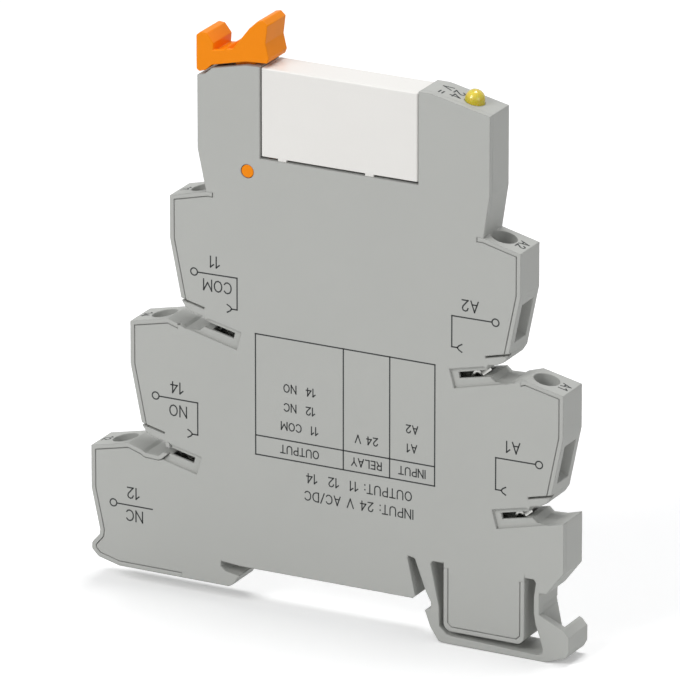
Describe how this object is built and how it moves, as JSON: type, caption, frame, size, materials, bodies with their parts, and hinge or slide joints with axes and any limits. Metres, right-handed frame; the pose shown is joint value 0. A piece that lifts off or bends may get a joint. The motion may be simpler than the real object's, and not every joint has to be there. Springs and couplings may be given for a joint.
{
  "type": "relay module",
  "caption": "Slim rail-mounted relay module with stepped screw terminals, plug-in relay, orange ejector lever, status light and moulded spring foot",
  "frame": {"origin": "centre of the face that seats on the top of a 35 mm rail, mid thickness", "axes": "X along the 80 mm side across the rail, Y through the 6.2 mm thickness with the label face at -Y, Z away from the rail"},
  "size_m": [0.0799, 0.0062, 0.0926],
  "materials": {
    "housing_grey": "fine matt",
    "lever_orange": "satin",
    "led_yellow": "clear gloss",
    "board_green": "satin",
    "component_black": "matt",
    "capacitor_sleeve": "satin",
    "relay_white": "satin",
    "relay_black": "matt",
    "iron": "zinc plated",
    "copper_wire": "enamelled",
    "contact_brass": "bright",
    "tinned_copper": "tinned",
    "screw_steel": "zinc plated",
    "spring_steel": "bright"
  },
  "bodies": {
    "housing": {"rear_shell": "housing_grey", "front_shell": "housing_grey", "status_led": "led_yellow", "circuit_board": "board_green", "board_rectifier": "component_black", "board_resistor": "component_black", "board_capacitor": "capacitor_sleeve", "board_diode": "component_black", "coil_socket_a": "tinned_copper", "coil_socket_b": "tinned_copper", "busbar_11": "tinned_copper", "busbar_14": "tinned_copper", "busbar_12": "tinned_copper", "busbar_a1": "tinned_copper", "busbar_a2": "tinned_copper", "bridge_contact_left_lower": "spring_steel", "bridge_contact_left_upper": "spring_steel", "bridge_contact_right_lower": "spring_steel", "bridge_contact_right_upper": "spring_steel"},
    "lever": {"ejector_lever": "lever_orange"},
    "relay": {"relay_cover": "relay_white", "relay_base": "relay_black", "relay_yoke": "iron", "relay_core": "iron", "relay_bobbin": "relay_black", "relay_coil": "copper_wire", "relay_com_pin": "contact_brass", "relay_contact_no": "contact_brass", "relay_contact_nc": "contact_brass", "relay_coil_pins": "tinned_copper"},
    "armature": {"relay_armature": "iron"},
    "card": {"relay_card": "relay_white"},
    "moving_contact": {"relay_contact_com": "contact_brass"},
    "screw_11": {"terminal_screw_11": "screw_steel"},
    "clamp_11": {"terminal_clamp_11": "screw_steel"},
    "screw_14": {"terminal_screw_14": "screw_steel"},
    "clamp_14": {"terminal_clamp_14": "screw_steel"},
    "screw_12": {"terminal_screw_12": "screw_steel"},
    "clamp_12": {"terminal_clamp_12": "screw_steel"},
    "screw_a1": {"terminal_screw_a1": "screw_steel"},
    "clamp_a1": {"terminal_clamp_a1": "screw_steel"},
    "screw_a2": {"terminal_screw_a2": "screw_steel"},
    "clamp_a2": {"terminal_clamp_a2": "screw_steel"}
  },
  "joints": [
    {"name": "lever_pivot", "type": "hinge", "parent": "housing", "child": "lever", "pos_m": [-0.01294, 0, 0.0626], "axis": [0, -1, 0], "range_deg": [0, 18]},
    {"name": "relay_lift", "type": "slide", "parent": "housing", "child": "relay", "axis": [0, 0, 1], "range_m": [0, 0.00138]},
    {"name": "armature_pivot", "type": "hinge", "parent": "relay", "child": "armature", "pos_m": [0.0021, 0, 0.06678], "axis": [0, 1, 0], "range_deg": [0, 3.2], "stiffness_Nm_per_rad": 0.00005, "springref_deg": -5.73},
    {"name": "card_slide", "type": "slide", "parent": "relay", "child": "card", "axis": [1, 0, 0], "range_m": [0, 0.000472]},
    {"name": "contact_flex", "type": "hinge", "parent": "relay", "child": "moving_contact", "pos_m": [-0.00703, 0, 0.067], "axis": [0, 1, 0], "range_deg": [0, 3.3]},
    {"name": "screw_turn_11", "type": "hinge", "parent": "housing", "child": "screw_11", "pos_m": [-0.02169, 0, 0.05774], "axis": [0.2079, 0, -0.9781], "range_deg": [0, 1440]},
    {"name": "clamp_rise_11", "type": "slide", "parent": "housing", "child": "clamp_11", "axis": [-0.2079, 0, 0.9781], "range_m": [0, 0.002]},
    {"name": "screw_turn_14", "type": "hinge", "parent": "housing", "child": "screw_14", "pos_m": [-0.02849, 0, 0.03684], "axis": [0.2079, 0, -0.9781], "range_deg": [0, 1440]},
    {"name": "clamp_rise_14", "type": "slide", "parent": "housing", "child": "clamp_14", "axis": [-0.2079, 0, 0.9781], "range_m": [0, 0.002]},
    {"name": "screw_turn_12", "type": "hinge", "parent": "housing", "child": "screw_12", "pos_m": [-0.03529, 0, 0.01594], "axis": [0.2079, 0, -0.9781], "range_deg": [0, 1440]},
    {"name": "clamp_rise_12", "type": "slide", "parent": "housing", "child": "clamp_12", "axis": [-0.2079, 0, 0.9781], "range_m": [0, 0.002]},
    {"name": "screw_turn_a1", "type": "hinge", "parent": "housing", "child": "screw_a1", "pos_m": [0.03499, 0, 0.03684], "axis": [-0.2079, 0, -0.9781], "range_deg": [0, 1440]},
    {"name": "clamp_rise_a1", "type": "slide", "parent": "housing", "child": "clamp_a1", "axis": [0.2079, 0, 0.9781], "range_m": [0, 0.002]},
    {"name": "screw_turn_a2", "type": "hinge", "parent": "housing", "child": "screw_a2", "pos_m": [0.02789, 0, 0.05774], "axis": [-0.2079, 0, -0.9781], "range_deg": [0, 1440]},
    {"name": "clamp_rise_a2", "type": "slide", "parent": "housing", "child": "clamp_a2", "axis": [0.2079, 0, 0.9781], "range_m": [0, 0.002]}
  ],
  "couplings": [
    {"joint": "lever_pivot", "follows": "relay_lift", "rad_per_m": 227.27},
    {"joint": "card_slide", "follows": "armature_pivot", "m_per_rad": 0.00842},
    {"joint": "contact_flex", "follows": "armature_pivot", "ratio": 1.0268},
    {"joint": "screw_turn_11", "follows": "clamp_rise_11", "rad_per_m": 12566},
    {"joint": "screw_turn_14", "follows": "clamp_rise_14", "rad_per_m": 12566},
    {"joint": "screw_turn_12", "follows": "clamp_rise_12", "rad_per_m": 12566},
    {"joint": "screw_turn_a1", "follows": "clamp_rise_a1", "rad_per_m": 12566},
    {"joint": "screw_turn_a2", "follows": "clamp_rise_a2", "rad_per_m": 12566}
  ]
}
